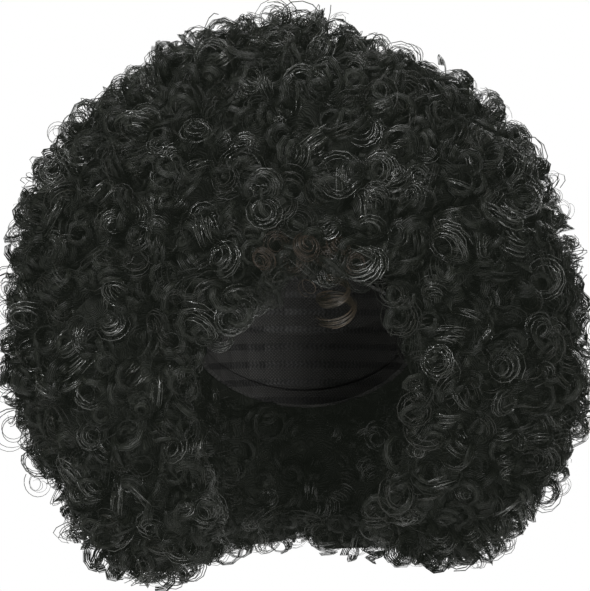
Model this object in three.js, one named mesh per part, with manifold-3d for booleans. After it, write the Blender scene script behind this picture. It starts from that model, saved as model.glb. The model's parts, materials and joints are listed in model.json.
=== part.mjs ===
// A big round curly wig: a thin stretch cap, six areas of curled hair over it, and a forelock.
// Millimetres. +Z is up and the face looks along -Y, so the wearer's left is +X.
// The origin is the point inside the cap that rests on the top of the head.
import * as THREE from "three";
import { mergeVertices } from "three/addons/utils/BufferGeometryUtils.js";
import { ConvexHull } from "three/addons/math/ConvexHull.js";
import Module from "manifold-3d";

const wasm = await Module();
wasm.setup();

// The head that the cap is made for
const HEAD_WIDTH = 156;
const HEAD_LENGTH = 198;
const CROWN_TO_WIDEST = 104;

// The cap: its wall, and how far below the crown its edge lies
const CAP_WALL = 2;
const CAP_FRONT_DROP = 62;
const CAP_EAR_DROP = 112;
const CAP_NAPE_DROP = 160;
const HEM_WIDTH = 12;
const HEM_ROLL = 1.5;
const HEM_FADE = 2;
const CAP_COLUMNS = 32;
const CAP_ROWS = 8;
const NECK_ROWS = 4;

// The outline of the hair: its height, its rise above the origin and how far it reaches sideways
const HAIR_HEIGHT = 418;
const HAIR_RISE = 130;
const HAIR_DROP = HAIR_HEIGHT - HAIR_RISE;
const HAIR_TO_LEFT = 206;
const HAIR_TO_RIGHT = 216;
const HAIR_TO_FRONT = 170;
const HAIR_TO_BACK = 204;

// The front opening, and the room for the neck and shoulders
const HAIRLINE_DROP = 66;
const FRINGE_BELOW_HAIRLINE = 34;
const FACE_HEIGHT = 225;
const FACE_TO_LEFT = 67;
const FACE_TO_RIGHT = 71;
const NECK_WIDTH = 124;
const NECK_DEPTH = 132;
const NECK_SET_BACK = 10;
const NECK_SIDES = 24;
const SHOULDER_DROP = 245;
const SHOULDER_FLARE = 42;

// A lock is a rounded ring of curl with a dimple in its middle. Locks cover the whole outside.
// Each lock has a rise and a dimple of its own, from the least share of the full size upwards.
const LOCK_COUNT = 360;
const LOCK_RISE = 17;
const RISE_SHARE = 0.75;
const CREST_RISE_SHARE = 0.8;
const LOCK_DIMPLE = 9;
const DIMPLE_SHARE = 0.4;
const CREST_SHARE = 0.62;

// The forelock: a corkscrew curl that hangs over the forehead, from the hair above it. It falls
// straight for a share of its drop, and widens over a share of its turns.
const FORELOCK_THICKNESS = 8;
const FORELOCK_RADIUS = 9.5;
const FORELOCK_DROP = 28;
const STRAIGHT_SHARE = 0.1;
const FORELOCK_TURNS = 1.6;
const WIDENING_SHARE = 0.33;
const FORELOCK_TO_LEFT = 17;
const FORELOCK_TO_FRONT = 115;
const FORELOCK_LEAN = 5;

const GAP = 0.3;
const REACH = 400;

// Sections of the hair. down is a share of its height, and the others say how full it is on each
// side: 1 is as wide as a ball of the hair's own sizes is at that level.
const HAIR_SECTIONS = [
  { down: 0.0, left: 0.5, right: 0.92, front: 0.86, back: 0.86 },
  { down: 0.06, left: 0.72, right: 1.02, front: 0.89, back: 0.88 },
  { down: 0.1, left: 0.82, right: 0.97, front: 0.92, back: 0.89 },
  { down: 0.16, left: 0.89, right: 0.96, front: 0.95, back: 0.91 },
  { down: 0.22, left: 0.93, right: 1.0, front: 0.98, back: 0.94 },
  { down: 0.35, left: 0.94, right: 1.0, front: 1.02, back: 0.97 },
  { down: 0.46, left: 0.95, right: 0.99, front: 1.0, back: 1.0 },
  { down: 0.58, left: 1.0, right: 1.01, front: 0.9, back: 1.01 },
  { down: 0.7, left: 1.08, right: 1.08, front: 0.84, back: 1.04 },
  { down: 0.77, left: 1.1, right: 1.1, front: 0.84, back: 1.08 },
  { down: 0.85, left: 1.18, right: 1.13, front: 0.86, back: 1.14 },
  { down: 0.91, left: 1.31, right: 1.33, front: 0.92, back: 1.24 },
  { down: 0.95, left: 1.6, right: 1.6, front: 1.04, back: 1.4 },
  { down: 0.98, left: 2.1, right: 2.2, front: 1.3, back: 1.65 },
  { down: 1.0, left: 2.6, right: 2.9, front: 1.5, back: 1.9 },
];

// The edge of the face opening. down is a share of its height, left and right of its half widths.
const FACE_EDGE = [
  { down: 0.0, left: 0.8, right: 0.08 },
  { down: 0.07, left: 0.88, right: 0.3 },
  { down: 0.145, left: 0.9, right: 0.53 },
  { down: 0.21, left: 0.92, right: 0.9 },
  { down: 0.32, left: 1.0, right: 0.97 },
  { down: 0.44, left: 0.99, right: 1.0 },
  { down: 0.55, left: 0.92, right: 0.94 },
  { down: 0.63, left: 0.8, right: 0.85 },
  { down: 0.7, left: 0.64, right: 0.76 },
  { down: 0.78, left: 0.66, right: 0.84 },
  { down: 0.86, left: 0.8, right: 1.0 },
  { down: 1.0, left: 1.25, right: 1.6 },
];

// The areas of hair, each cut from what the ones before it leave. Angles run round the head in
// degrees, from the face towards the wearer's left.
const CROWN_LEVEL = 6;
const FRINGE_LEVEL = -HAIRLINE_DROP - FRINGE_BELOW_HAIRLINE;
const AREAS = [
  { name: "hair_crown", from: 0, to: 360, low: CROWN_LEVEL, high: REACH },
  { name: "hair_front", from: -34, to: 34, low: FRINGE_LEVEL, high: REACH },
  { name: "hair_back", from: 134, to: 226, low: -CAP_EAR_DROP, high: REACH },
  { name: "hair_nape", from: 134, to: 226, low: -REACH, high: REACH },
  { name: "hair_left", from: 0, to: 180, low: -REACH, high: REACH },
  { name: "hair_right", from: 180, to: 360, low: -REACH, high: REACH },
];

const hairMaterial = new THREE.MeshStandardMaterial({ color: 0x141513, roughness: 0.5, metalness: 0 });
const capMaterial = new THREE.MeshStandardMaterial({ color: 0x1b1b1c, roughness: 0.85, metalness: 0 });

const toRadians = THREE.MathUtils.degToRad;

// A repeatable number from 0 to 1 for copy n of a pattern.
function scatter(n, salt) {
  const value = Math.sin(n * 12.9898 + salt * 78.233) * 43758.5453;
  return value - Math.floor(value);
}

// A repeatable share of a full size, no smaller than least.
function vary(least, n, salt) {
  return THREE.MathUtils.lerp(least, 1, scatter(n, salt));
}

// A value from a table of sections, with straight lines between its rows.
function between(rows, down, column) {
  const next = rows.findIndex((row) => row.down >= down);
  if (next < 1) return rows[next === 0 ? 0 : rows.length - 1][column];
  const a = rows[next - 1];
  const b = rows[next];
  return THREE.MathUtils.lerp(a[column], b[column], (down - a.down) / (b.down - a.down));
}

function solidOf(geometry) {
  const bare = geometry.clone();
  for (const name of Object.keys(bare.attributes)) if (name !== "position") bare.deleteAttribute(name);
  const merged = mergeVertices(bare, 1e-4);
  return new wasm.Manifold(
    new wasm.Mesh({
      numProp: 3,
      vertProperties: merged.attributes.position.array,
      triVerts: new Uint32Array(merged.index.array),
    }),
  );
}

function meshOf(name, solid, material) {
  const made = solid.getMesh();
  const geometry = new THREE.BufferGeometry();
  geometry.setAttribute("position", new THREE.BufferAttribute(made.vertProperties, 3));
  geometry.setIndex(new THREE.BufferAttribute(made.triVerts, 1));
  geometry.computeVertexNormals();
  const mesh = new THREE.Mesh(geometry, material);
  mesh.name = name;
  return mesh;
}

// A closed skin: a sphere whose points are moved to place(angle round the head, share of the way down).
function skin(columns, rows, place) {
  const geometry = new THREE.SphereGeometry(1, columns, rows);
  const { position } = geometry.attributes;
  for (let i = 0; i < position.count; i++) {
    const row = Math.floor(i / (columns + 1));
    const column = (i % (columns + 1)) % columns;
    const spot = place((column / columns) * 2 * Math.PI, row);
    position.setXYZ(i, spot.x, spot.y, spot.z);
  }
  return geometry;
}

// A point of the head's surface, pushed outwards by offset. slope is 0 at the crown.
function headPoint(angle, slope, offset) {
  return new THREE.Vector3(
    (HEAD_WIDTH / 2 + offset) * Math.sin(slope) * Math.sin(angle),
    -(HEAD_LENGTH / 2 + offset) * Math.sin(slope) * Math.cos(angle),
    (CROWN_TO_WIDEST + offset) * Math.cos(slope) - CROWN_TO_WIDEST,
  );
}

// How far down the head the cap's edge lies: high on the forehead, over the ears, low on the nape.
function edgeSlope(angle) {
  const slopeAt = (drop) => Math.acos(1 - drop / CROWN_TO_WIDEST);
  const toFront = Math.cos(angle);
  const far = slopeAt(toFront > 0 ? CAP_FRONT_DROP : CAP_NAPE_DROP);
  return THREE.MathUtils.lerp(slopeAt(CAP_EAR_DROP), far, Math.abs(toFront));
}

// The cap is one wall: down its outside, round the rolled hem and back up its inside.
function buildCap() {
  const hem = HEM_WIDTH / CROWN_TO_WIDEST;
  const stations = [];
  for (let i = 0; i <= CAP_ROWS; i++) stations.push({ share: i / CAP_ROWS, back: 0, offset: CAP_WALL });
  stations.push({ share: 1, back: 0, offset: -HEM_ROLL });
  stations.push({ share: 1, back: hem, offset: -HEM_ROLL });
  stations.push({ share: 1, back: hem + HEM_FADE / CROWN_TO_WIDEST, offset: 0 });
  for (let i = CAP_ROWS - 2; i >= 0; i--) stations.push({ share: i / CAP_ROWS, back: 0, offset: 0 });
  const wall = skin(CAP_COLUMNS, stations.length - 1, (angle, row) => {
    const { share, back, offset } = stations[row];
    return headPoint(angle, edgeSlope(angle) * share - back, offset);
  });
  return meshOf("cap", solidOf(wall), capMaterial);
}

// The point of the hair that a direction from its middle leads to, set inwards by inset.
function hairPoint(direction, inset) {
  const down = (1 - direction.z) / 2;
  const [side, sideReach] = direction.x > 0 ? ["left", HAIR_TO_LEFT] : ["right", HAIR_TO_RIGHT];
  const [end, endReach] = direction.y < 0 ? ["front", HAIR_TO_FRONT] : ["back", HAIR_TO_BACK];
  return new THREE.Vector3(
    direction.x * between(HAIR_SECTIONS, down, side) * (sideReach - inset),
    direction.y * between(HAIR_SECTIONS, down, end) * (endReach - inset),
    HAIR_RISE - inset - (HAIR_RISE + HAIR_DROP - 2 * inset) * down,
  );
}

// Directions spread evenly like the seeds of a sunflower, one for each lock.
function lockMiddles() {
  const golden = Math.PI * (3 - Math.sqrt(5));
  return Array.from({ length: LOCK_COUNT }, (_, i) => {
    const z = 1 - (2 * i + 1) / LOCK_COUNT;
    const wide = Math.sqrt(1 - z * z);
    return new THREE.Vector3(wide * Math.sin(i * golden), -wide * Math.cos(i * golden), z);
  });
}

// The corners round each lock: the middles of the triangles that join it to its neighbours.
function lockCorners(middles) {
  const corners = middles.map(() => []);
  for (const face of new ConvexHull().setFromPoints(middles).faces) {
    const joined = [face.edge, face.edge.next, face.edge.prev].map((edge) => edge.head().point);
    const corner = joined.reduce((sum, point) => sum.add(point), new THREE.Vector3()).normalize();
    for (const point of joined) corners[middles.indexOf(point)].push(corner);
  }
  corners.forEach((around, i) => {
    const across = new THREE.Vector3(0, 0, 1).cross(middles[i]).normalize();
    const up = middles[i].clone().cross(across);
    const turn = (corner) => Math.atan2(corner.dot(up), corner.dot(across));
    around.sort((a, b) => turn(a) - turn(b));
  });
  return corners;
}

// The outside of the hair: every lock rises from its corners to a crest and dips to its dimple.
function buildOutside() {
  const middles = lockMiddles();
  const corners = lockCorners(middles);
  const points = [];
  const add = (...triangle) => points.push(...triangle.flatMap((point) => point.toArray()));
  middles.forEach((middle, i) => {
    const rise = LOCK_RISE * vary(RISE_SHARE, i, 1);
    const dimple = hairPoint(middle, LOCK_RISE - rise + LOCK_DIMPLE * vary(DIMPLE_SHARE, i, 2));
    const crests = corners[i].map((corner, k) => {
      const direction = middle.clone().lerp(corner, CREST_SHARE).normalize();
      return hairPoint(direction, LOCK_RISE - rise * vary(CREST_RISE_SHARE, i, k + 3));
    });
    const feet = corners[i].map((corner) => hairPoint(corner, LOCK_RISE));
    feet.forEach((foot, k) => {
      const next = (k + 1) % feet.length;
      add(foot, feet[next], crests[next]);
      add(foot, crests[next], crests[k]);
      add(crests[k], crests[next], dimple);
    });
  });
  const geometry = new THREE.BufferGeometry();
  geometry.setAttribute("position", new THREE.Float32BufferAttribute(points, 3));
  return solidOf(geometry);
}

function faceWidth(down, side) {
  return between(FACE_EDGE, down, side) * (side === "left" ? FACE_TO_LEFT : -FACE_TO_RIGHT);
}

// The capped head, on the cap's own columns and rows and then on down to the chin.
function buildHead() {
  const head = skin(CAP_COLUMNS, CAP_ROWS + NECK_ROWS, (angle, row) => {
    const edge = edgeSlope(angle);
    const below = Math.max(0, row - CAP_ROWS) / NECK_ROWS;
    const slope = edge * Math.min(1, row / CAP_ROWS) + (Math.PI - edge) * below;
    return headPoint(angle, slope, CAP_WALL + GAP);
  });
  return solidOf(head);
}

// The room that the hair leaves: the capped head, the face in front of it, the neck and shoulders.
function buildRoom() {

  const edge = new THREE.Shape();
  FACE_EDGE.forEach(({ down }, i) => {
    const x = faceWidth(down, "left");
    const y = -HAIRLINE_DROP - FACE_HEIGHT * down;
    if (i === 0) edge.moveTo(x, y);
    else edge.lineTo(x, y);
  });
  for (const { down } of [...FACE_EDGE].reverse()) {
    edge.lineTo(faceWidth(down, "right"), -HAIRLINE_DROP - FACE_HEIGHT * down);
  }
  const tunnel = new THREE.ExtrudeGeometry(edge, { depth: REACH, bevelEnabled: false });
  tunnel.rotateX(Math.PI / 2);
  const face = solidOf(tunnel);

  const fall = HAIR_DROP - SHOULDER_DROP + GAP;
  const shoulders = 1 + (2 * SHOULDER_FLARE) / NECK_WIDTH;
  const column = new THREE.CylinderGeometry(1, 1, REACH, NECK_SIDES);
  column.translate(0, -CROWN_TO_WIDEST - REACH / 2, 0);
  const flare = new THREE.CylinderGeometry(1, shoulders, fall, NECK_SIDES);
  flare.translate(0, -SHOULDER_DROP - fall / 2, 0);
  for (const round of [column, flare]) {
    round.rotateX(Math.PI / 2);
    round.scale(NECK_WIDTH / 2, NECK_DEPTH / 2, 1);
    round.translate(0, NECK_SET_BACK, 0);
  }
  return wasm.Manifold.union([buildHead(), face, solidOf(column), solidOf(flare)]);
}

// A wedge of space between two angles round the head and two levels, grown on every side.
function wedge({ from, to, low, high }, grown) {
  const depth = high - low + 2 * grown;
  if (to - from === 360) {
    const slab = new THREE.BoxGeometry(4 * REACH, 4 * REACH, depth);
    slab.translate(0, 0, (high + low) / 2);
    return solidOf(slab);
  }
  const middle = toRadians((from + to) / 2);
  const spread = toRadians((to - from) / 2);
  const tip = -grown / Math.sin(spread);
  const corner = (angle, reach) =>
    new THREE.Vector2(
      Math.sin(middle) * tip + Math.sin(angle) * reach,
      -Math.cos(middle) * tip - Math.cos(angle) * reach,
    );
  const outline = new THREE.Shape([
    corner(middle, 0),
    corner(middle - spread, 2 * REACH),
    corner(middle, 4 * REACH),
    corner(middle + spread, 2 * REACH),
  ]);
  const block = new THREE.ExtrudeGeometry(outline, { depth, bevelEnabled: false });
  block.translate(0, 0, low - grown);
  return solidOf(block);
}

// The hair is cut into its areas, which keep a small gap between them.
function buildHair() {
  let rest = buildOutside().subtract(buildRoom());
  return AREAS.map((area) => {
    const bodies = rest.intersect(wedge(area, 0)).decompose();
    rest = rest.subtract(wedge(area, GAP));
    const whole = bodies.reduce((a, b) => (a.volume() > b.volume() ? a : b));
    return meshOf(area.name, whole, hairMaterial);
  });
}

// The forelock starts straight down from the hair's underside and then winds into its corkscrew.
function buildForelock() {
  const steps = 26;
  const path = [];
  for (let i = 0; i <= steps; i++) {
    const share = i / steps;
    const wound = Math.max(0, share - STRAIGHT_SHARE) / (1 - STRAIGHT_SHARE);
    const radius = FORELOCK_RADIUS * Math.min(1, wound / WIDENING_SHARE);
    const turn = wound * FORELOCK_TURNS * 2 * Math.PI;
    path.push(
      new THREE.Vector3(
        FORELOCK_TO_LEFT + FORELOCK_LEAN * wound + radius * Math.sin(turn),
        -FORELOCK_TO_FRONT + radius * Math.cos(turn),
        -HAIRLINE_DROP - GAP - FORELOCK_DROP * share,
      ),
    );
  }
  const round = new THREE.Shape();
  round.absarc(0, 0, FORELOCK_THICKNESS / 2, 0, 2 * Math.PI);
  const curl = new THREE.ExtrudeGeometry(round, {
    steps,
    curveSegments: 4,
    bevelEnabled: false,
    extrudePath: new THREE.CatmullRomCurve3(path),
  });
  return meshOf("forelock", solidOf(curl), hairMaterial);
}

const wig = new THREE.Group();
wig.add(buildCap(), ...buildHair(), buildForelock());

export default wig;
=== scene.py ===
# %% [markdown]
# # A big round wig of tight black curls
#
# The real thing is a thin stretch cap with strips of curled synthetic fibre sewn all over it. Every
# strip is full of ringlets about two centimetres wide, and they tangle into one round mass.
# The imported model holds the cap, that mass cut into six areas, and one forelock. This lesson
# dresses the mass in ringlets made of real strands, because no bump pattern gives the broken,
# loopy edge that such hair has against a pale wall.

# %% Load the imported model
import json
import math
from random import Random

import bpy
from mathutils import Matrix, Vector

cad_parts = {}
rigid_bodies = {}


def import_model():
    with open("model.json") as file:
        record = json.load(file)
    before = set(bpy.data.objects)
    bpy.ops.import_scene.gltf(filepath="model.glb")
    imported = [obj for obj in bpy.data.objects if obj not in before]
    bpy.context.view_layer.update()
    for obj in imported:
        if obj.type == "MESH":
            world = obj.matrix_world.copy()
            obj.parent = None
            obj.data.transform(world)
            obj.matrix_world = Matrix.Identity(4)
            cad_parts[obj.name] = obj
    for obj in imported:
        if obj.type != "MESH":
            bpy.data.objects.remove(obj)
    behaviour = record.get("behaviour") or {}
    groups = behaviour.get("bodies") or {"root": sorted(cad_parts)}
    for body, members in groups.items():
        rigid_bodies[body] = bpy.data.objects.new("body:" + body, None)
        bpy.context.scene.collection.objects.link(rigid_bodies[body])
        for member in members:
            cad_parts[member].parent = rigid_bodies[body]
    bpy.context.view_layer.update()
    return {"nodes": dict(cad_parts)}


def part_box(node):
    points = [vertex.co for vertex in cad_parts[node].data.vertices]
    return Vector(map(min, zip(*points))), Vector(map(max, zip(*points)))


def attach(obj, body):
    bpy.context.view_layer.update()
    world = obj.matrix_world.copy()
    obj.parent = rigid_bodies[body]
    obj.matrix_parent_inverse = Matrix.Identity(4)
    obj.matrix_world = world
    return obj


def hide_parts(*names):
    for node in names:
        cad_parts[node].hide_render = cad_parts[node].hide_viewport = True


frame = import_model()
MM = 0.001
AREAS = [name for name in sorted(frame["nodes"]) if name.startswith("hair_")]
print("areas of hair:", ", ".join(AREAS))

# %% [markdown]
# ## Camera
#
# The picture is a straight, level view of the front that is as wide as the hair. A long lens from
# nearly two metres keeps the shape free of distortion, as in the pictures of a catalogue.

# %% Camera
VIEW_DISTANCE = 1840 * MM
VIEW_SIDE = -7 * MM
VIEW_LEVEL = -78 * MM
PICTURE_WIDTH = 418 * MM  # what the frame takes in at the depth of the origin

bpy.ops.object.select_all(action="DESELECT")
bpy.ops.object.camera_add(
    location=(VIEW_SIDE, -VIEW_DISTANCE, VIEW_LEVEL), rotation=(math.pi / 2, 0, 0)
)
camera = bpy.context.object
camera.data.lens = camera.data.sensor_width * VIEW_DISTANCE / PICTURE_WIDTH
bpy.context.scene.camera = camera
print("lens", round(camera.data.lens), "mm")

# %% [markdown]
# ## Studio
#
# Black hair shows its form only through what it mirrors. A soft lamp from the upper left draws the
# thin bright arcs on the ringlets, a weaker one fills from the right, a third skims over the top,
# and a fourth lights the back. The room itself stays dim, or every strand would turn grey.

# %% Studio
FLOOR_LEVEL = -1.6  # low enough to stay out of the picture
FLOOR_RADIUS = 10
LAMPS = [
    {"name": "key_lamp", "place": (-1.1, -1.7, 1.3), "size": 0.5, "watts": 60},
    {"name": "fill_lamp", "place": (0.9, -2.2, -0.4), "size": 0.6, "watts": 24},
    {"name": "top_lamp", "place": (0.3, 0.5, 1.9), "size": 0.8, "watts": 15},
    {"name": "back_lamp", "place": (0.9, 2.0, 0.6), "size": 1.0, "watts": 24},
]
AIM = Vector((0, 0, VIEW_LEVEL))

for lamp in LAMPS:
    towards = (AIM - Vector(lamp["place"])).to_track_quat("-Z", "Y").to_euler()
    bpy.ops.object.light_add(type="AREA", location=lamp["place"], rotation=towards)
    light = bpy.context.object
    light.name = lamp["name"]
    light.data.size = lamp["size"]
    light.data.energy = lamp["watts"]

bpy.ops.object.select_all(action="DESELECT")
bpy.ops.mesh.primitive_circle_add(
    vertices=96, radius=FLOOR_RADIUS, fill_type="NGON", location=(0, 0, FLOOR_LEVEL)
)
floor = bpy.context.object
floor.name = "floor"
bpy.context.scene.view_settings.view_transform = "Standard"
print("lamps:", len(LAMPS))

# %% [markdown]
# ## A short way to write nodes
#
# Shaders and scattering are both trees of nodes. `Tree.add` makes one node from its type, its
# settings and the values or links of its sockets. `Value` wraps an output so that plain sums such
# as `1 - mask` add their Math nodes by themselves.

# %% Sums of outputs


class Value:
    """A node's output that can be added to, multiplied and so on."""

    def __init__(self, tree, socket):
        self.tree = tree
        self.socket = socket

    def math(self, operation, *terms):
        terms = dict(enumerate(terms))
        return self.tree.add("ShaderNodeMath", {"operation": operation}, terms).out()

    def __add__(self, other):
        return self.math("ADD", self, other)

    def __sub__(self, other):
        return self.math("SUBTRACT", self, other)

    def __rsub__(self, other):
        return self.math("SUBTRACT", other, self)

    def __mul__(self, other):
        return self.math("MULTIPLY", self, other)

    __radd__ = __add__
    __rmul__ = __mul__

    def wave(self):
        """Runs from 0 to 1 and back once in every whole number."""
        return self.math("ABSOLUTE", self.math("SINE", self * math.pi))

    def step(self):
        return self.math("FLOOR", self)

    def chance(self):
        """A number from 0 to 1 that is drawn anew for every whole number."""
        settings = {"noise_dimensions": "1D"}
        return self.tree.add("ShaderNodeTexWhiteNoise", settings, {"W": self.step()}).out()


print("outputs can be added and multiplied")

# %% Trees of nodes


def find(sockets, name):
    """A socket by its number, or by its name among those in use."""
    if isinstance(name, int):
        return sockets[name]
    return next(one for one in sockets if one.name == name and one.enabled)


class Node:
    """A node, whose outputs are asked for by name."""

    def __init__(self, tree, node):
        self.tree = tree
        self.node = node

    def out(self, name=0):
        return Value(self.tree, find(self.node.outputs, name))


class Tree:
    """A tree of nodes that is built one node at a time."""

    def __init__(self, tree):
        self.tree = tree

    def add(self, kind, settings=None, inputs=None):
        node = self.tree.nodes.new(kind)
        for name, value in (settings or {}).items():
            if name == "stops":
                self.set_stops(node.color_ramp.elements, value)
            else:
                setattr(node, name, value)
        for name, value in (inputs or {}).items():
            socket = find(node.inputs, name)
            if isinstance(value, Value):
                self.tree.links.new(value.socket, socket)
            else:
                socket.default_value = value
        return Node(self, node)

    def set_stops(self, elements, stops):
        while len(elements) < len(stops):
            elements.new(1)
        for element, (place, colour) in zip(elements, stops):
            element.position = place
            element.color = (*colour, 1)


def new_material(name):
    """A material with an empty tree, and the tree."""
    material = bpy.data.materials.new(name)
    material.use_nodes = True
    material.node_tree.nodes.clear()
    return material, Tree(material.node_tree)


def finish_material(tree, shader):
    tree.add("ShaderNodeOutputMaterial", None, {"Surface": shader.out()})


print("node helpers ready")

# %% [markdown]
# ## Room colour
#
# The wall behind is plain white to the camera. For everything else the room is a dim grey.

# %% Room
WALL = (1, 1, 1, 1)
ROOM = (0.174, 0.188, 0.166, 1)
FLOOR_TONE = (0.86, 0.86, 0.85, 1)
FLOOR_ROUGHNESS = 0.8
FLOOR_GLOW = 0.3  # the floor is a sheet of pale paper lit from all round

world = bpy.data.worlds.new("room")
bpy.context.scene.world = world
world.use_nodes = True
world.node_tree.nodes.clear()
room = Tree(world.node_tree)
seen = room.add("ShaderNodeLightPath").out("Is Camera Ray")
tint = room.add("ShaderNodeMix", {"data_type": "RGBA"}, {"Factor": seen, "A": ROOM, "B": WALL})
background = room.add("ShaderNodeBackground", None, {"Color": tint.out("Result")})
room.add("ShaderNodeOutputWorld", None, {"Surface": background.out()})

pale, tree = new_material("pale_floor")
paper = tree.add(
    "ShaderNodeBsdfPrincipled",
    None,
    {
        "Base Color": FLOOR_TONE,
        "Roughness": FLOOR_ROUGHNESS,
        "Emission Color": FLOOR_TONE,
        "Emission Strength": FLOOR_GLOW,
    },
)
finish_material(tree, paper)
floor.data.materials.append(pale)
print("room and floor have their colours")

# %% [markdown]
# ## Fibre
#
# Synthetic fibre is nearly black, smooth and a little shiny. No two strands have quite the same
# tone, and the tips are slightly paler and browner than the roots. Every strand lies in its own row
# of a map, with its length along U, and a wave across the rows lowers the creases between strands
# and darkens them with painted shade. A flat lock covers three rows. Its wave is finer, and what
# lies low in it is cut out by the alpha, so that the lock reads as split strands. A faint painted
# glow stands for light that wanders from strand to strand. Without it the hollows come out blacker
# than in real hair.

# %% Values of the fibre
FIBRE_MAP = "OFBake"
FIBRE_ROWS = 64  # how many strands the map has room for
# place on the ramp, colour of black fibre, and how bright the browned fibre is there
FIBRE_STOPS = [
    (0.0, (0.0040, 0.0047, 0.0035), 0.12),
    (0.12, (0.0070, 0.0080, 0.0060), 0.25),
    (0.4, (0.0105, 0.0118, 0.0088), 0.5),
    (0.9, (0.0210, 0.0226, 0.0172), 1.0),
]
FIBRE_BROWN = (0.068, 0.040, 0.024)
# painted light: a faint glow on all fibre stands in for light that wanders from strand to strand
FIBRE_GLOW = (0.75, 0.88, 0.69, 1)
FIBRE_GLOW_STRENGTH = 0.0066
STRAND_BUMP = 0.5 * MM
BUMP_STRENGTH = 0.8
SHEET_STRANDS = 2.2  # fine strands that a flat lock shows in each row of the map
SWAY_ROWS = 1.6  # how many rows a strand's crest wanders
SWAY_ALONG, SWAY_ACROSS = 5, 0.4  # how fast that changes along a strand and from row to row
OWN_TONE = 0.7  # how much of its tone is a strand's own, while the rest grows towards the tip
# painted shade: the creases between strands are darkened to this share of a strand's tone
TONE_IN_CREASE_SHADE = 0.2  # the share of its tone that a strand keeps in the crease beside it
CUT_HEIGHT, CUT_RANGE = 0.52, 0.4  # where a flat lock is cut out, and how much strands differ
OWN_ROUGHNESS, CREASE_ROUGHNESS = 0.15, 0.3
print("fibre map with", FIBRE_ROWS, "rows")

# %% Fibre material


def mixed(first, second, share):
    return tuple(a + (b - a) * share for a, b in zip(first, second))


def fibre_stops(brown, lift):
    """The fibre's ramp with a share of brown in it, and brightened by lift."""
    stops = []
    for place, black, share in FIBRE_STOPS:
        brownest = tuple(part * share for part in FIBRE_BROWN)
        stops.append((place, tuple(part * lift for part in mixed(black, brownest, brown))))
    return stops


def fibre_material(name, gloss, brown, shine=0.5, lift=1.0, sheet=False):
    """Strands that differ in tone. A sheet is cut out between its strands."""
    material, tree = new_material(name)
    fine = SHEET_STRANDS if sheet else 1
    spot = tree.add("ShaderNodeUVMap", {"uv_map": FIBRE_MAP}).out()
    parts = tree.add("ShaderNodeSeparateXYZ", None, {0: spot})
    along, row = parts.out("X"), parts.out("Y") * FIBRE_ROWS
    pace = {0: along * SWAY_ALONG, 1: row * SWAY_ACROSS}
    spread = tree.add("ShaderNodeCombineXYZ", None, pace).out()
    sway = tree.add(
        "ShaderNodeTexNoise", {"noise_dimensions": "2D"}, {"Vector": spread, "Scale": 1.0}
    ).out()
    strand = row * fine + sway * SWAY_ROWS
    ridge = strand.wave()
    own = strand.chance()
    tone = own * OWN_TONE + along * (1 - OWN_TONE)
    # the creases between strands are darkened here with painted shade
    shade = tone * (ridge * (1 - TONE_IN_CREASE_SHADE) + TONE_IN_CREASE_SHADE)
    ramp = {"stops": fibre_stops(brown, lift)}
    colour = tree.add("ShaderNodeValToRGB", ramp, {"Fac": shade}).out()
    relief = tree.add(
        "ShaderNodeBump",
        None,
        {"Strength": BUMP_STRENGTH, "Distance": STRAND_BUMP, "Height": ridge},
    ).out()
    solid = ridge.math("GREATER_THAN", ridge, own * CUT_RANGE + CUT_HEIGHT) if sheet else 1.0
    shader = tree.add(
        "ShaderNodeBsdfPrincipled",
        None,
        {
            "Base Color": colour,
            "Roughness": own * OWN_ROUGHNESS + (1 - ridge) * CREASE_ROUGHNESS + gloss,
            "Specular IOR Level": shine,
            "Normal": relief,
            "Alpha": solid,
            "Emission Color": FIBRE_GLOW,
            "Emission Strength": FIBRE_GLOW_STRENGTH,
        },
    )
    finish_material(tree, shader)
    return material


print("fibre material ready")

# %% Finishes of the fibre
DULL = {"gloss": 0.38, "brown": 0.0, "shine": 0.25, "lift": 0.65}
STRAND_LOOKS = {
    "curled": {"gloss": 0.12, "brown": 0.04, "shine": 1.25, "lift": 1.2},
    "dull": DULL,
    "warm": {"gloss": 0.26, "brown": 0.12, "shine": 0.45, "lift": 0.8},
    "browned": {"gloss": 0.24, "brown": 1.0},
    # the forelock's fibre is browner, and its tone is lifted so that the far side of the coil, in
    # the shade of the fringe, still shows against the dark cap: partly its own brown, partly
    # painted light
    "forelock": {"gloss": 0.24, "brown": 0.6, "shine": 0.7, "lift": 2.1},
}
SHEET_LOOKS = {
    "deep": {"gloss": 0.38, "brown": 0.0, "shine": 0.3, "lift": 0.9},
    "dull": DULL,
}
strand_finish = {
    name: fibre_material(name + "_strand", **look) for name, look in STRAND_LOOKS.items()
}
sheet_finish = {
    name: fibre_material(name + "_sheet", sheet=True, **look)
    for name, look in SHEET_LOOKS.items()
}
print("finishes:", len(strand_finish), "for strands and", len(sheet_finish), "for flat locks")

# %% [markdown]
# ## The tangle below
#
# Between the ringlets lies more of the same hair, too deep to make strand by strand. Rings of
# strands round many middles give it the look of curls seen from above. A Voronoi texture knows how
# far the nearest middle is, and a wave over that distance draws one strand after another.

# %% Tangle material
TANGLE_RING = 19 * MM
TANGLE_STRAND = 1.3 * MM
TANGLE_SWAY = 9 * MM
TANGLE_PATCHES = 70.0  # the scale of the noise that bends the rings and varies their tone
TANGLE_OWN = 0.45  # how much of its tone is a strand's own, while the rest comes in patches
TANGLE_BUMP = 1.2 * MM
DEEP_BUMP_STRENGTH = 0.9
TANGLE_ROUGHNESS = 0.6
TANGLE_SHINE = 0.2
TANGLE_STOPS = [
    (0.1, (0.004, 0.0045, 0.0035)),
    (0.6, (0.009, 0.0100, 0.0078)),
    (1.0, (0.018, 0.0195, 0.0155)),
]


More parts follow.
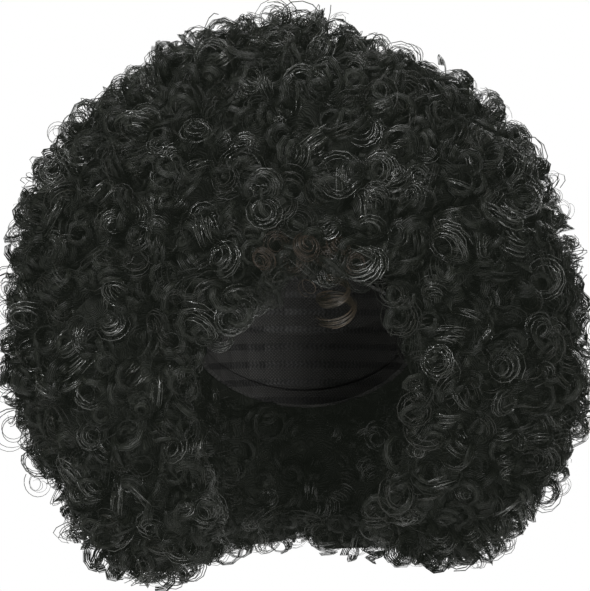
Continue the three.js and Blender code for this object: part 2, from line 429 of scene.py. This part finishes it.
def tangle_material(name):
    material, tree = new_material(name)
    spot = tree.add("ShaderNodeTexCoord").out("Object")
    noise = tree.add(
        "ShaderNodeTexNoise", None, {"Vector": spot, "Scale": TANGLE_PATCHES, "Detail": 2.0}
    )
    push = tree.add(
        "ShaderNodeVectorMath",
        {"operation": "SCALE"},
        {0: noise.out("Color"), "Scale": TANGLE_SWAY},
    ).out()
    swayed = tree.add("ShaderNodeVectorMath", {"operation": "ADD"}, {0: spot, 1: push}).out()
    middle = tree.add("ShaderNodeTexVoronoi", None, {"Vector": swayed, "Scale": 1 / TANGLE_RING})
    strand = middle.out("Distance") * (TANGLE_RING / TANGLE_STRAND)
    own = strand.chance()
    shade = own * TANGLE_OWN + noise.out() * (1 - TANGLE_OWN)
    colour = tree.add("ShaderNodeValToRGB", {"stops": TANGLE_STOPS}, {"Fac": shade}).out()
    relief = tree.add(
        "ShaderNodeBump",
        None,
        {"Strength": DEEP_BUMP_STRENGTH, "Distance": TANGLE_BUMP, "Height": strand.wave()},
    ).out()
    shader = tree.add(
        "ShaderNodeBsdfPrincipled",
        None,
        {
            "Base Color": colour,
            "Roughness": own * 0.2 + TANGLE_ROUGHNESS,
            "Specular IOR Level": TANGLE_SHINE,
            "Normal": relief,
            # the same faint painted glow as on the fibre stands in for light that wanders between
            # strands
            "Emission Color": FIBRE_GLOW,
            "Emission Strength": FIBRE_GLOW_STRENGTH,
        },
    )
    finish_material(tree, shader)
    return material


tangle = tangle_material("tangled_fibre")
print("tangle ready")

# %% [markdown]
# ## Working on one object at a time
#
# An operator acts on all that is selected, so each step first selects its own object alone.
# Faces are picked in code by where they lie, as one would click on them by hand.

# %% Helpers for selecting


def only(piece):
    bpy.ops.object.select_all(action="DESELECT")
    piece.select_set(True)
    bpy.context.view_layer.objects.active = piece


def pick_faces(piece, wanted):
    """Leaves the piece in edit mode with the faces that wanted(face) names selected."""
    only(piece)
    bpy.ops.object.mode_set(mode="EDIT")
    bpy.ops.mesh.select_mode(type="FACE")
    bpy.ops.mesh.select_all(action="DESELECT")
    bpy.ops.object.mode_set(mode="OBJECT")
    for face in piece.data.polygons:
        face.select = wanted(face)
    bpy.ops.object.mode_set(mode="EDIT")


def leave_edit_mode():
    bpy.ops.object.mode_set(mode="OBJECT")


def copy_of_node(node, name):
    """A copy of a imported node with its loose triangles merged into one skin."""
    piece = frame["nodes"][node].copy()
    piece.data = piece.data.copy()
    piece.data.materials.clear()
    piece.name = name
    piece.parent = None
    for key in list(piece.keys()):
        del piece[key]
    bpy.context.scene.collection.objects.link(piece)
    only(piece)
    bpy.ops.object.mode_set(mode="EDIT")
    bpy.ops.mesh.select_all(action="SELECT")
    bpy.ops.mesh.remove_doubles(threshold=0.01 * MM)
    leave_edit_mode()
    return piece


print("selection helpers ready")

# %% [markdown]
# ## The mass under the curls
#
# Between the ringlets one looks into a dark tangle. Each area gets a core for that: a copy of the
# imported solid, drawn inwards wherever it shows, so that the ringlets stand free of it. A face
# shows unless the cap or another area lies against it. Where two areas meet, the cores reach
# into each other, so that no slot opens between them. Hair also settles under its own weight and
# under a comb, so a table moves a few stretches of the surface by some millimetres. Proportional
# editing lets each move fade out, and the skin that carries the curls follows the same table.

# %% Where the hair settles
# node, bounds of its faces in x, y and z, how far they move, and the falloff, in millimetres
SETTLING = [
    ("hair_crown", (-200, -45), (-200, 250), (90, 200), (0, 0, -5), 42),
    ("hair_crown", (19, 200), (-200, 250), (96, 200), (0, 0, -10), 38),
    ("hair_front", (-60, 4), (-200, 0), (-200, -48), (0, 0, 6), 18),
    ("hair_crown", (-250, -125), (-200, 250), (40, 85), (4, 0, 0), 35),
    ("hair_left", (50, 250), (-200, 150), (-300, -250), (0, 0, 9), 30),
    ("hair_left", (0, 84), (-200, -40), (-220, -70), (5, 0, 0), 18),
    ("hair_right", (-84, 0), (-200, -40), (-220, -70), (-5, 0, 0), 18),
]


def settle(piece, node):
    """Moves the stretches of this area's surface that the table names."""
    for area, *bounds, by, falloff in SETTLING:
        if area != node:
            continue
        pick_faces(
            piece,
            lambda face: all(
                low * MM < part < high * MM for part, (low, high) in zip(face.center, bounds)
            ),
        )
        bpy.ops.transform.translate(
            value=Vector(by) * MM,
            use_proportional_edit=True,
            proportional_edit_falloff="SMOOTH",
            proportional_size=falloff * MM,
        )
        leave_edit_mode()


print("places that settle:", len(SETTLING))

# %% Core of each area
TOUCHING = 1.2 * MM
CORE_SINK = 10 * MM
CORE_OVERLAP = 6 * MM


def neighbour(face, node):
    """The name of the node that lies against this face, or nothing."""
    for other, solid in frame["nodes"].items():
        if other != node and solid.closest_point_on_mesh(face.center, distance=TOUCHING)[0]:
            return other
    return None


def make_core(node):
    core = copy_of_node(node, "core_" + node.removeprefix("hair_"))
    against = {face.index: neighbour(face, node) for face in core.data.polygons}
    pick_faces(core, lambda face: against[face.index] is None)
    bpy.ops.transform.shrink_fatten(value=-CORE_SINK)
    leave_edit_mode()
    pick_faces(core, lambda face: against[face.index] in AREAS)
    bpy.ops.transform.shrink_fatten(value=CORE_OVERLAP)
    leave_edit_mode()
    settle(core, node)
    core.data.materials.append(tangle)
    return core


cores = {node: make_core(node) for node in AREAS}
print("cores:", {node: len(core.data.polygons) for node, core in cores.items()})

# %% [markdown]
# ## Ringlets
#
# A strand starts as a tiny triangle, swept round and upwards by a Screw modifier, and a Taper
# narrows the sweep towards its tip. A ringlet is a few such strands side by side, each tilted and
# shifted a little. The undercurls are hardly seen, so each of them is one flat lock, swept from a
# thin quadrangle, that its finish splits into strands. Each kind is made once and then scattered
# by the hundred, so every strand has to make do with few faces.

# %% Rows of the fibre map
MAP_MARGIN = 0.01  # what stays free at both ends of the map's length
ROW_MARGIN = 0.1  # the share of its rows that stays free on both sides of a strand
rows_used = 0


def map_strand(strand, sides, rows):
    """Gives the strand its rows in the fibre map, with its length along U."""
    global rows_used
    if rows_used + rows > FIBRE_ROWS:
        rows_used = 0
    last = max(1, len(strand.data.vertices) // sides - 1)
    layer = strand.data.uv_layers.new(name=FIBRE_MAP)
    for loop in strand.data.loops:
        along = (loop.vertex_index // sides) / last
        across = 0.5 - 0.5 * math.cos(2 * math.pi * (loop.vertex_index % sides) / sides)
        layer.data[loop.index].uv = (
            MAP_MARGIN + (1 - 2 * MAP_MARGIN) * along,
            (rows_used + (ROW_MARGIN + (1 - 2 * ROW_MARGIN) * across) * rows) / FIBRE_ROWS,
        )
    rows_used += rows


print("each strand gets rows of its own")

# %% One strand
FEWEST_STEPS = 3
random = Random(7)


def make_strand(coil, offset, width, height, sides, rows, steps):
    """One strand of a coil round the Z axis. Its offset is measured across the ringlet."""
    tilt = math.radians(coil["tilt"])
    bpy.ops.object.select_all(action="DESELECT")
    bpy.ops.mesh.primitive_circle_add(
        vertices=sides, radius=0.5, fill_type="NGON", calc_uvs=False
    )
    strand = bpy.context.object
    strand.scale = (width, height, 1)
    bpy.ops.object.transform_apply()
    strand.rotation_euler = (math.pi / 2, tilt, 0)
    strand.location = (coil["radius"] * MM + offset * math.cos(tilt), 0, -offset * math.sin(tilt))
    bpy.ops.object.transform_apply()
    sweep = strand.modifiers.new("sweep", "SCREW")
    sweep.angle = coil["turns"] * 2 * math.pi
    sweep.screw_offset = coil["rise"] * MM
    sweep.steps = sweep.render_steps = max(FEWEST_STEPS, round(coil["turns"] * steps))
    sweep.use_merge_vertices = False
    bpy.ops.object.modifier_apply(modifier=sweep.name)
    narrow = strand.modifiers.new("narrow", "SIMPLE_DEFORM")
    narrow.deform_method = "TAPER"
    narrow.deform_axis = "Z"
    narrow.factor = -coil["taper"]
    bpy.ops.object.modifier_apply(modifier=narrow.name)
    map_strand(strand, sides, rows)
    bpy.ops.object.mode_set(mode="EDIT")
    bpy.ops.mesh.select_all(action="SELECT")
    bpy.ops.mesh.fill_holes(sides=sides)
    bpy.ops.mesh.select_all(action="SELECT")
    bpy.ops.mesh.normals_make_consistent(inside=False)
    bpy.ops.object.mode_set(mode="OBJECT")
    bpy.ops.object.shade_smooth()
    return strand


def varied(coil, amount):
    """A coil whose sizes differ by up to this share, so no strand runs quite like the next."""
    return {name: value * random.uniform(1 - amount, 1 + amount) for name, value in coil.items()}


print("strand maker ready")

# %% Kinds of ringlet
# radius and rise in millimetres, tilt of the row of strands and lean of the ringlet in degrees
RINGLETS = [
    {"radius": 10, "rise": 6, "turns": 1.4, "taper": 0.35, "tilt": 30, "lean": 8},
    {"radius": 11.5, "rise": 6, "turns": 1.25, "taper": 0.35, "tilt": 40, "lean": 28},
    {"radius": 8, "rise": 7, "turns": 1.6, "taper": 0.45, "tilt": 35, "lean": 15},
    {"radius": 9.5, "rise": 8, "turns": 1.35, "taper": 0.3, "tilt": 55, "lean": 48},
    {"radius": 9, "rise": 9, "turns": 1.2, "taper": 0.2, "tilt": 80, "lean": 78},
    {"radius": 6, "rise": 15, "turns": 1.7, "taper": 0.3, "tilt": 80, "lean": 25},
    {"radius": 12, "rise": 5, "turns": 1.1, "taper": 0.2, "tilt": 20, "lean": 20},
    {"radius": 9.5, "rise": 7, "turns": 1.35, "taper": 0.3, "tilt": 60, "lean": 65},
]
UNDERCURLS = [
    {"radius": 8.5, "rise": 6, "turns": 1.3, "taper": 0.4, "tilt": 35, "lean": 10},
    {"radius": 9.5, "rise": 7, "turns": 1.1, "taper": 0.3, "tilt": 60, "lean": 55},
    {"radius": 7, "rise": 8, "turns": 1.4, "taper": 0.4, "tilt": 45, "lean": 30},
    {"radius": 10.5, "rise": 7, "turns": 1.1, "taper": 0.3, "tilt": 35, "lean": 20},
]
print("kinds:", len(RINGLETS), "of ringlet and", len(UNDERCURLS), "of undercurl")

# %% Helpers for joining and placing


def join(pieces, name):
    only(pieces[0])
    for piece in pieces:
        piece.select_set(True)
    bpy.ops.object.join()
    pieces[0].name = name
    return pieces[0]


def place(piece, location=(0, 0, 0), turn=(0, 0, 0), size=1.0):
    """Sizes, turns and moves a piece, and keeps that in its mesh."""
    only(piece)
    piece.scale = (size, size, size)
    piece.rotation_euler = [math.radians(angle) for angle in turn]
    piece.location = location
    bpy.ops.object.transform_apply()


print("join and place ready")

# %% One ringlet
# width and height, sides, rows of the map and finishes of what a ringlet can be made of
STRAND = {"size": (0.5 * MM, 0.5 * MM), "sides": 3, "rows": 1, "finish": strand_finish}
SHEET = {"size": (5.0 * MM, 0.5 * MM), "sides": 4, "rows": 3, "finish": sheet_finish}
COIL = ("radius", "rise", "turns", "taper", "tilt")
COIL_VARIES = 0.14
SIZE_VARIES = (0.8, 1.2)
RINGLET_SPREAD = 0.62  # width of the row of strands, as a share of the ringlet's radius
WANDER = 1.0 * MM  # how far a strand strays from its place
SWAY = 8  # degrees that it is tilted by at most
TWIST = 40  # degrees that it is turned by at most


def either_way(most):
    return random.uniform(-most, most)


def make_ringlet(kind, name, fibre, finish, count, steps):
    """A ringlet of so many strands or sheets side by side."""
    coil = {part: kind[part] for part in COIL}
    spread = kind["radius"] * RINGLET_SPREAD * MM
    sway = kind.get("sway", SWAY)
    pieces = []
    for i in range(count):
        offset = ((i + 0.5) / count - 0.5) * spread
        width, height = (part * random.uniform(*SIZE_VARIES) for part in fibre["size"])
        own_coil = varied(coil, COIL_VARIES)
        piece = make_strand(own_coil, offset, width, height, fibre["sides"], fibre["rows"], steps)
        drift = [either_way(WANDER) for _ in range(3)]
        place(piece, drift, [either_way(sway), either_way(sway), either_way(TWIST)])
        piece.data.materials.append(fibre["finish"][finish])
        pieces.append(piece)
    ringlet = join(pieces, name)
    place(ringlet, (0, 0, -kind["rise"] * MM / 2))
    place(ringlet, turn=(kind["lean"], 0, 0))
    return ringlet


print("ringlet maker ready")

# %% Kits of ringlets and undercurls
# finish, and how many strands or sheets
RINGLET_MAKES = [("curled", 6), ("dull", 3), ("warm", 4)]
UNDERCURL_MAKES = [("deep", 1), ("dull", 1)]
STEPS_PER_TURN = 11
UNDERCURL_STEPS = 9


def make_kit(name, kinds, fibre, makes, steps):
    """A collection with each kind in each finish, no two of them quite alike."""
    kit = bpy.data.collections.new(name)
    bpy.context.scene.collection.children.link(kit)
    for i, kind in enumerate(kinds):
        for finish, count in makes:
            ringlet = make_ringlet(kind, f"{name}_{i}_{finish}", fibre, finish, count, steps)
            for home in list(ringlet.users_collection):
                home.objects.unlink(ringlet)
            kit.objects.link(ringlet)
    return kit


def triangles(piece):
    return sum(len(face.vertices) - 2 for face in piece.data.polygons)


ringlet_kit = make_kit("ringlet", RINGLETS, STRAND, RINGLET_MAKES, STEPS_PER_TURN)
undercurl_kit = make_kit("undercurl", UNDERCURLS, SHEET, UNDERCURL_MAKES, UNDERCURL_STEPS)

# %% [markdown]
# ## Scattering
#
# Its axis follows the surface, then leans and turns at random, and it sinks a little so that
# ringlets tangle with each other instead of lying on top. A layer of undercurls fills the depth,
# and the ringlets of loose strands go over it.

# %% Layers of curls
LEAN = math.radians(28)
MOST_POINTS = 12000.0  # points on a square metre, before those too close together are dropped
CLOSER = {"hair_front": 0.85}  # the fringe shows most, so its curls stand closer
LAYERS = {
    "undercurls": {
        "kit": undercurl_kit,
        "spacing": 13.4 * MM,
        "sink": (5 * MM, 9 * MM),
        "sizes": (0.85, 1.2),
    },
    "ringlets": {
        "kit": ringlet_kit,
        "spacing": 14.0 * MM,
        "sink": (2 * MM, 8 * MM),
        "sizes": (0.7, 1.2),
    },
}
print("layers:", ", ".join(LAYERS))

# %% Nodes that scatter


def scatter_group(name, layer, spacing, seed):
    """A group of nodes that replaces a skin by the curls of one layer."""
    group = bpy.data.node_groups.new(name, "GeometryNodeTree")
    group.interface.new_socket("Skin", in_out="INPUT", socket_type="NodeSocketGeometry")
    group.interface.new_socket("Curls", in_out="OUTPUT", socket_type="NodeSocketGeometry")
    tree = Tree(group)
    skin = tree.add("NodeGroupInput").out()
    points = tree.add(
        "GeometryNodeDistributePointsOnFaces",
        {"distribute_method": "POISSON"},
        {"Mesh": skin, "Distance Min": spacing, "Density Max": MOST_POINTS, "Seed": seed},
    )
    shallow, deep = layer["sink"]
    depth = tree.add(
        "FunctionNodeRandomValue",
        {"data_type": "FLOAT"},
        {"Min": -deep, "Max": -shallow, "Seed": seed + 1},
    ).out("Value")
    shift = tree.add(
        "ShaderNodeVectorMath", {"operation": "SCALE"}, {0: points.out("Normal"), "Scale": depth}
    ).out()
    sunk = tree.add(
        "GeometryNodeSetPosition", None, {"Geometry": points.out("Points"), "Offset": shift}
    ).out()
    sway = tree.add(
        "FunctionNodeRandomValue",
        {"data_type": "FLOAT_VECTOR"},
        {"Min": (-LEAN, -LEAN, 0), "Max": (LEAN, LEAN, 2 * math.pi), "Seed": seed + 2},
    ).out("Value")
    turn = tree.add(
        "FunctionNodeRotateRotation",
        {"rotation_space": "LOCAL"},
        {"Rotation": points.out("Rotation"), "Rotate By": sway},
    ).out()
    smallest, largest = layer["sizes"]
    size = tree.add(
        "FunctionNodeRandomValue",
        {"data_type": "FLOAT"},
        {"Min": smallest, "Max": largest, "Seed": seed + 3},
    ).out("Value")
    choice = tree.add(
        "GeometryNodeCollectionInfo", None, {"Collection": layer["kit"], "Separate Children": True}
    ).out()
    curls = tree.add(
        "GeometryNodeInstanceOnPoints",
        None,
        {
            "Points": sunk,
            "Instance": choice,
            "Pick Instance": True,
            "Rotation": turn,
            "Scale": size,
        },
    ).out()
    real = tree.add("GeometryNodeRealizeInstances", None, {"Geometry": curls}).out()
    tree.add("NodeGroupOutput", None, {"Curls": real})
    return group


print("scatter nodes ready")

# %% Curls over every area
AREA_SEED, LAYER_SEED = 100, 20  # far enough apart that no two layers share a seed


def make_curls(node, kind, seed):
    curls = copy_of_node(node, node.replace("hair", kind))
    pick_faces(curls, lambda face: neighbour(face, node) is not None)
    bpy.ops.mesh.delete(type="FACE")
    leave_edit_mode()
    settle(curls, node)
    scatter = curls.modifiers.new("scatter", "NODES")
    spacing = LAYERS[kind]["spacing"] * CLOSER.get(node, 1)
    scatter.node_group = scatter_group("scatter_" + curls.name, LAYERS[kind], spacing, seed)
    bpy.ops.object.modifier_apply(modifier=scatter.name)
    return curls


curls = {}
for i, node in enumerate(AREAS):
    curls[node] = [
        make_curls(node, kind, AREA_SEED * i + LAYER_SEED * j) for j, kind in enumerate(LAYERS)
    ]
    print({piece.name: triangles(piece) for piece in curls[node]})
print("all curls:", sum(triangles(piece) for pair in curls.values() for piece in pair))

# %% Put the kits away
for kit in (ringlet_kit, undercurl_kit):
    for ringlet in list(kit.objects):
        bpy.data.objects.remove(ringlet)
    bpy.data.collections.remove(kit)
print("kits removed")

# %% [markdown]
# ## Forelock
#
# One corkscrew hangs from the fringe by itself, so here the strands can be smooth and many. They
# wind together from the fringe, open into a loop at the bottom, and two thin ones spring off to
# the side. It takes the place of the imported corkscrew.

# %% Forelock
FORELOCK_COIL = {"radius": 9.0, "rise": 25, "turns": 1.75, "taper": -0.35, "tilt": 70}
FORELOCK_STRANDS = 15
FORELOCK_SPREAD = 5.5 * MM
FORELOCK_STRAND = 0.6 * MM
FORELOCK_VARIES = 0.06
FORELOCK_WANDER = 0.8 * MM
FORELOCK_SWAY, FORELOCK_TWIST = 4, 9
FORELOCK_LEAN = (211, -9, -115)
LOOSE_COIL = {"radius": 6, "rise": 12, "turns": 1.7, "taper": 0.2, "tilt": 60}
LOOSE_STRAND = 0.55 * MM
LOOSE_VARIES = 0.15
LOOSE_SPREAD = 0.8 * MM
LOOSE_LEAN = (130, 50, 10)
LOOSE_SHIFT = Vector((-17, 0, 11)) * MM  # from the middle of the forelock
SMOOTH = {"sides": 5, "rows": 1, "steps": 20}

low, high = (Vector(corner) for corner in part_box("forelock"))
forelock_middle = (low + high) / 2


def hang(pieces, turn, middle):
    """Joins strands, turns them about their middle and puts that where it belongs."""
    group = join(pieces, "hanging")
    x, y, z = turn
    place(group, turn=(0, 0, z))
    place(group, turn=(x, y, 0))
    corners = [Vector(corner) for corner in group.bound_box]
    centre = sum(corners, Vector()) / len(corners)
    place(group, Vector(middle) - centre)
    return group


strands = []
for i in range(FORELOCK_STRANDS):
    offset = (i / (FORELOCK_STRANDS - 1) - 0.5) * FORELOCK_SPREAD
    coil = varied(FORELOCK_COIL, FORELOCK_VARIES)
    strand = make_strand(coil, offset, FORELOCK_STRAND, FORELOCK_STRAND, **SMOOTH)
    turn = [either_way(most) for most in (FORELOCK_SWAY, FORELOCK_SWAY, FORELOCK_TWIST)]
    place(strand, [either_way(FORELOCK_WANDER) for _ in range(3)], turn)
    strands.append(strand)
bundle = hang(strands, FORELOCK_LEAN, forelock_middle)
bundle.data.materials.append(strand_finish["forelock"])

strands = []
for i in range(2):
    coil = varied(LOOSE_COIL, LOOSE_VARIES)
    strands.append(make_strand(coil, i * LOOSE_SPREAD, LOOSE_STRAND, LOOSE_STRAND, **SMOOTH))
loose = hang(strands, LOOSE_LEAN, forelock_middle + LOOSE_SHIFT)
loose.data.materials.append(strand_finish["forelock"])
forelock = join([bundle, loose], "forelock_strands")
print("forelock:", triangles(forelock), "triangles")

# %% [markdown]
# ## Curls with a place of their own
#
# A few curls show singly in the picture: three that hang beside the opening, the browned ones in
# the thin middle of the fringe, and the loops that stand out against the wall. Each gets a line in
# a table, with its place in millimetres and its turn in degrees. How deep a browned curl lies is
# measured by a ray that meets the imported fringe.

# %% Places of the single curls
SIDE_CURLS = [
    {"at": (-46, -122, -92), "size": 1.0, "turn": (80, 0, 20)},
    {"at": (-57, -120, -104), "size": 0.85, "turn": (70, 20, 140)},
    {"at": (-35, -126, -80), "size": 0.9, "turn": (95, -15, 250)},
]
FRINGE_CURLS = [
    {"at": (-19, -45), "size": 0.95, "turn": (70, 25, 20)},
    {"at": (-8, -56), "size": 0.8, "turn": (110, -30, 200)},
    {"at": (1, -46), "size": 0.9, "turn": (60, 15, 90)},
    {"at": (13, -54), "size": 0.75, "turn": (115, -10, 310)},
    {"at": (22, -47), "size": 0.95, "turn": (70, 35, 160)},
    {"at": (-28, -55), "size": 0.8, "turn": (120, 5, 270)},
    {"at": (32, -57), "size": 0.7, "turn": (65, -20, 40)},
]
STRAY_CURLS = [
    {"at": (-12, 4, 117), "size": 0.8, "turn": (90, 0, 0)},
    {"at": (25, -6, 115), "size": 0.65, "turn": (80, 20, 90)},
    {"at": (76, 2, 93), "size": 0.9, "turn": (95, 10, 200)},
    {"at": (-50, 0, 109), "size": 0.65, "turn": (100, -15, 300)},
    {"at": (139, 4, 50), "size": 0.7, "turn": (90, 15, 40)},
    {"at": (183, 2, -17), "size": 0.8, "turn": (85, -10, 140)},
    {"at": (-203, 6, -33), "size": 1.0, "turn": (90, 10, 250)},
    {"at": (-176, 2, 36), "size": 0.75, "turn": (95, -10, 0)},
    {"at": (-208, 0, -174), "size": 1.25, "turn": (90, 0, 70)},
    {"at": (-189, 8, -211), "size": 0.75, "turn": (80, 20, 180)},
    {"at": (-161, 0, -247), "size": 0.6, "turn": (100, 0, 270)},
    {"at": (-108, 6, -276), "size": 0.85, "turn": (90, 10, 30)},
    {"at": (143, 0, -251), "size": 0.65, "turn": (85, 10, 120)},
    {"at": (182, 6, -213), "size": 0.65, "turn": (95, -10, 220)},
]
print("single curls:", len(SIDE_CURLS), len(FRINGE_CURLS), len(STRAY_CURLS))

# %% Depth of the browned curls
FRINGE_GAP = 1 * MM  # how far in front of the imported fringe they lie
FRINGE_DEPTH = -140 * MM  # where one lies that has no fringe behind it
RAY_START = -400  # well in front of the hair, in millimetres


def before_the_fringe(x, z):
    """The point in front of the fringe at this place of the picture, in millimetres."""
    start = Vector((x, RAY_START, z)) * MM
    touched, spot, _, _ = frame["nodes"]["hair_front"].ray_cast(start, (0, 1, 0))
    depth = spot.y - FRINGE_GAP if touched else FRINGE_DEPTH
    return (x, depth / MM, z)


for line in FRINGE_CURLS:
    line["at"] = before_the_fringe(*line["at"])
print("fringe curls at", [tuple(round(part) for part in line["at"]) for line in FRINGE_CURLS])

# %% Single curls
HANGING_RING = {"radius": 10, "rise": 5, "turns": 1.8, "taper": 0.1, "tilt": 50, "lean": 0}
FRINGE_RING = {"radius": 9, "rise": 8, "turns": 1.4, "taper": 0.35, "tilt": 40, "lean": 25}
WISP = {"radius": 11, "rise": 10, "turns": 0.9, "taper": 0.5, "tilt": 60, "lean": 0, "sway": 28}
SINGLE_STEPS = 18


def make_singles(name, kind, finish, count, table):
    pieces = []
    for i, line in enumerate(table):
        ringlet = make_ringlet(kind, f"{name}_{i}", STRAND, finish, count, SINGLE_STEPS)
        x, y, z = line["turn"]
        place(ringlet, turn=(0, 0, z))
        place(ringlet, [part * MM for part in line["at"]], (x, y, 0), line["size"])
        pieces.append(ringlet)
    return join(pieces, name)


singles = [
    make_singles("side_curls", HANGING_RING, "curled", 10, SIDE_CURLS),
    make_singles("fringe_curls", FRINGE_RING, "browned", 9, FRINGE_CURLS),
    make_singles("stray_curls", WISP, "curled", 4, STRAY_CURLS),
]
for piece in singles:
    print(piece.name, triangles(piece), "triangles")

# %% [markdown]
# ## Cap
#
# The cap is a knitted net with the strips of hair sewn round it in rows, and its hem is a band of
# elastic. From inside one sees the rows as flat tapes with zigzag stitches, and the net between
# them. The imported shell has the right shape, so it only gets this finish.

# %% Values of the cap
TAPE_PITCH = 13 * MM
TAPE_SHARE = 0.36  # how much of the pitch a tape takes up
TAPE_WANDER, TAPE_WANDER_SCALE = 0.25, 25.0  # how far, in pitches, and how often a tape strays
STITCH_PITCH = 3.0 * MM
ZIGZAG = 0.5  # how far a stitch leans, in stitches
NET_PITCH = 2.4 * MM
CAP_RADIUS = 85 * MM
FUZZ_SCALE = 900.0
NET_FUZZ, TAPE_FUZZ = 0.2, 0.3  # how much of the pattern is fuzz
NET_HEIGHT, SEAM_HEIGHT = 0.5, 0.4  # as shares of the height of a tape
CAP_BUMP = 0.8 * MM
NET_ROUGHNESS = 0.72
TAPE_SMOOTHER = 0.2
NET_TONES = [
    (0.0, (0.006, 0.006, 0.006)),
    (0.6, (0.05, 0.049, 0.047)),
    (1.0, (0.085, 0.083, 0.079)),
]
TAPE_TONES = [
    (0.0, (0.012, 0.012, 0.012)),
    (0.7, (0.02, 0.02, 0.02)),
    (1.0, (0.075, 0.073, 0.07)),
]
print("a tape every", round(TAPE_PITCH / MM), "mm")

# %% Cap material


def cap_material(name):
    material, tree = new_material(name)
    spot = tree.add("ShaderNodeTexCoord").out("Object")
    parts = tree.add("ShaderNodeSeparateXYZ", None, {0: spot})
    x, y, z = parts.out("X"), parts.out("Y"), parts.out("Z")
    round_way = x.math("ARCTAN2", x, y) * CAP_RADIUS
    wander = tree.add(
        "ShaderNodeTexNoise", None, {"Vector": spot, "Scale": TAPE_WANDER_SCALE}
    ).out()
    row = z * (1 / TAPE_PITCH) + wander * TAPE_WANDER
    rise = row - row.step()
    tape = row.math("LESS_THAN", rise, TAPE_SHARE)
    zigzag = (z * (1 / STITCH_PITCH)).wave() * ZIGZAG
    stitch = (round_way * (1 / STITCH_PITCH) + zigzag).wave()
    one = (round_way * (1 / NET_PITCH) + z * (1 / NET_PITCH)).wave()
    two = (round_way * (1 / NET_PITCH) - z * (1 / NET_PITCH)).wave()
    net = one.math("MINIMUM", one, two)
    fuzz = tree.add(
        "ShaderNodeTexNoise", None, {"Vector": spot, "Scale": FUZZ_SCALE, "Detail": 2.0}
    ).out()
    woven = net * (1 - NET_FUZZ) + fuzz * NET_FUZZ
    sewn = stitch * (1 - TAPE_FUZZ) + fuzz * TAPE_FUZZ
    net_colour = tree.add("ShaderNodeValToRGB", {"stops": NET_TONES}, {"Fac": woven}).out()
    tape_colour = tree.add("ShaderNodeValToRGB", {"stops": TAPE_TONES}, {"Fac": sewn}).out()
    colour = tree.add(
        "ShaderNodeMix",
        {"data_type": "RGBA"},
        {"Factor": tape, "A": net_colour, "B": tape_colour},
    ).out("Result")
    seam = sewn * SEAM_HEIGHT + (1 - SEAM_HEIGHT)
    height = tape * seam + (1 - tape) * woven * NET_HEIGHT
    relief = tree.add(
        "ShaderNodeBump",
        None,
        {"Strength": DEEP_BUMP_STRENGTH, "Distance": CAP_BUMP, "Height": height},
    ).out()
    shader = tree.add(
        "ShaderNodeBsdfPrincipled",
        None,
        {
            "Base Color": colour,
            "Roughness": NET_ROUGHNESS - TAPE_SMOOTHER * tape,
            "Normal": relief,
        },
    )
    finish_material(tree, shader)
    return material


cap = frame["nodes"]["cap"]
cap.data.materials.clear()
cap.data.materials.append(cap_material("knitted_cap"))
print("cap finished")

# %% [markdown]
# ## Finishing
#
# Every new piece rides on the one body. The cores and curls of an area take the place of its
# imported solid, which is hidden, and so do the strands of the forelock for theirs. Side curls,
# fringe curls and strays are extra.

# %% Finishing
for node in AREAS:
    for piece in (cores[node], *curls[node]):
        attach(piece, "root")
        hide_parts(node)

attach(forelock, "root")
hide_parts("forelock")
for piece in singles:
    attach(piece, "root")
